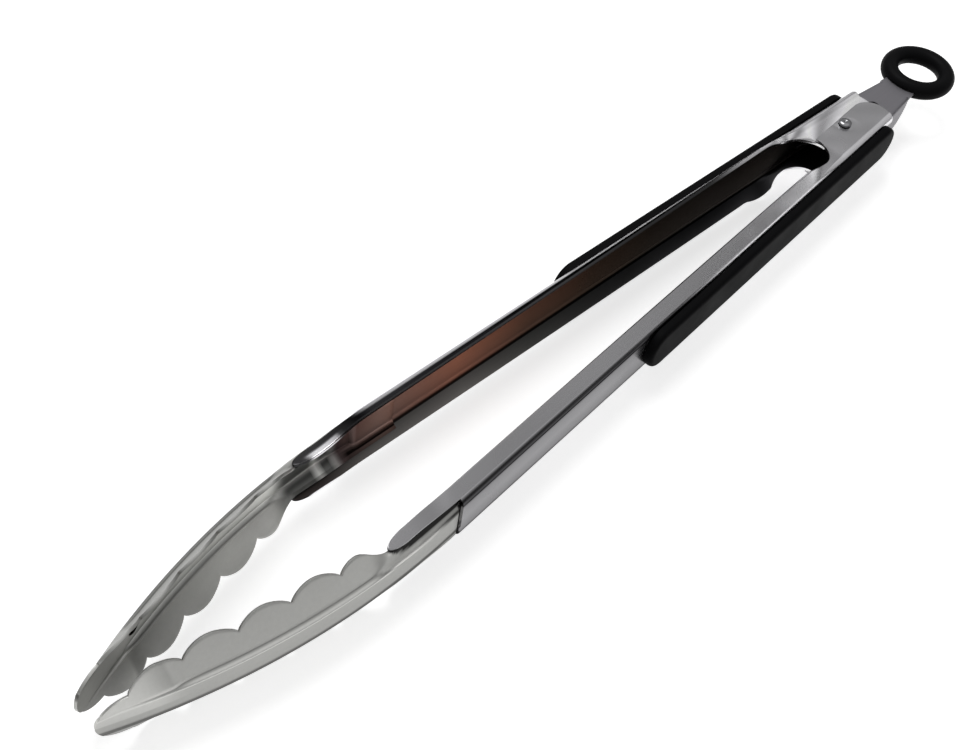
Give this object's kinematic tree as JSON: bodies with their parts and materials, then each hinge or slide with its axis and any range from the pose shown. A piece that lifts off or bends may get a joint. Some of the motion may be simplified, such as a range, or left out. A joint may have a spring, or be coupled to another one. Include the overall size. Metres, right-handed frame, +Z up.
{
  "type": "kitchen tongs",
  "caption": "Locking kitchen tongs with scalloped heads, soft grips on riveted channel arms, a torsion spring and a sliding lock tab with a pull ring.",
  "frame": {"origin": "middle of the footprint at the lowest point, with the tongs lying on their side", "axes": "+X from the pull ring to the heads, +Y towards the outer arm, +Z up along the rivet"},
  "size_m": [0.3978, 0.0456, 0.0276],
  "materials": {
    "outer_arm": "satin stainless sheet, pressed",
    "inner_arm": "polished stainless sheet, pressed",
    "outer_head": "satin stainless sheet, pressed",
    "inner_head": "satin stainless sheet, pressed",
    "outer_grip": "black soft plastic, matt",
    "inner_grip": "black soft plastic, matt",
    "pivot_rivet": "polished steel",
    "pivot_bush": "turned steel tube",
    "torsion_spring": "spring steel wire",
    "lock_tab": "folded steel sheet, satin grey",
    "pull_ring": "black moulded plastic"
  },
  "bodies": {
    "outer": {"outer_arm": "outer_arm", "outer_head": "outer_head", "outer_grip": "outer_grip"},
    "inner": {"inner_arm": "inner_arm", "inner_head": "inner_head", "inner_grip": "inner_grip"},
    "pivot": {"pivot_rivet": "pivot_rivet", "pivot_bush": "pivot_bush", "torsion_spring": "torsion_spring"},
    "lock": {"lock_tab": "lock_tab", "pull_ring": "pull_ring"}
  },
  "joints": [
    {"name": "arm_hinge", "type": "hinge", "parent": "outer", "child": "inner", "pos_m": [-0.1337, 0, 0.0138], "axis": [0, 0, -1], "range_deg": [-1.1, 12], "stiffness_Nm_per_rad": 0.35, "springref_deg": 17.19},
    {"name": "pivot_turn", "type": "hinge", "parent": "outer", "child": "pivot", "pos_m": [-0.1337, 0, 0.0138], "axis": [0, 0, -1], "range_deg": [-1, 6.5]},
    {"name": "tab_slide", "type": "slide", "parent": "pivot", "child": "lock", "axis": [1, 0, 0], "range_m": [-0.0018, 0.0162]}
  ],
  "couplings": [
    {"joint": "pivot_turn", "follows": "arm_hinge", "ratio": 0.5},
    {"joint": "tab_slide", "follows": "arm_hinge", "m_per_rad": 0.0747}
  ]
}
